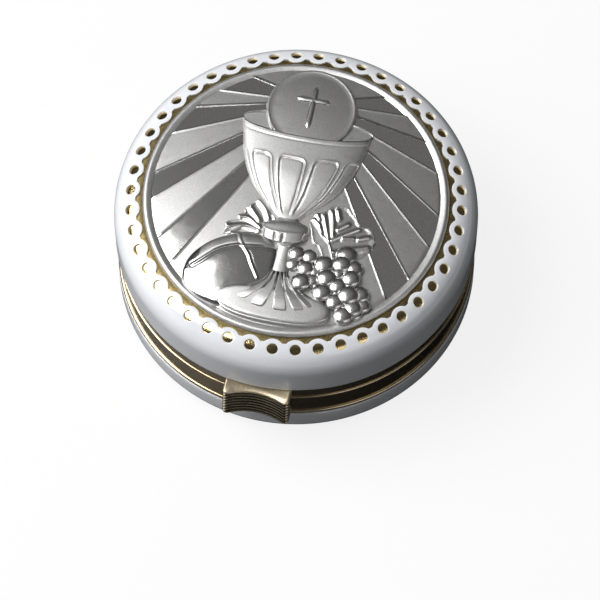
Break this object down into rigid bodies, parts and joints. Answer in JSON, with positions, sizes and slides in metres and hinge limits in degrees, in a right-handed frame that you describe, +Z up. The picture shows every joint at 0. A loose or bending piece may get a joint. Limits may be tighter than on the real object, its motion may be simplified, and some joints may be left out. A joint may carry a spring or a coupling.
{
  "type": "pyx",
  "caption": "Round hinged pocket box for communion hosts: white enamelled shells in gilt brass frames, a silver relief medal on the lid, white liners and a ridged thumb piece.",
  "frame": {"origin": "centre of the flat underside", "axes": "+Z up, through the lid; -Y to the thumb piece in front, +Y to the hinge behind; +X to the right"},
  "size_m": [0.055, 0.0573, 0.0253],
  "materials": {
    "white_enamel": "gloss fired enamel",
    "gilt_brass": "polished gilt",
    "silver": "satin and polished relief",
    "white_liner": "satin",
    "adhesive": "matte"
  },
  "bodies": {
    "base": {"base_shell": "white_enamel", "base_frame": "gilt_brass", "base_liner": "white_liner", "base_catch": "gilt_brass", "base_knuckle_1": "gilt_brass", "base_knuckle_2": "gilt_brass", "hinge_pin": "gilt_brass"},
    "lid": {"lid_shell": "gilt_brass", "lid_enamel": "white_enamel", "lid_frame": "gilt_brass", "lid_liner": "white_liner", "lid_knuckle_1": "gilt_brass", "lid_knuckle_2": "gilt_brass", "thumb_piece": "gilt_brass", "medal": "silver", "medal_adhesive": "adhesive"}
  },
  "joints": [
    {"name": "lid_hinge", "type": "hinge", "parent": "base", "child": "lid", "pos_m": [0, 0.02625, 0.0109], "axis": [-1, 0, 0], "range_deg": [0, 95]}
  ]
}
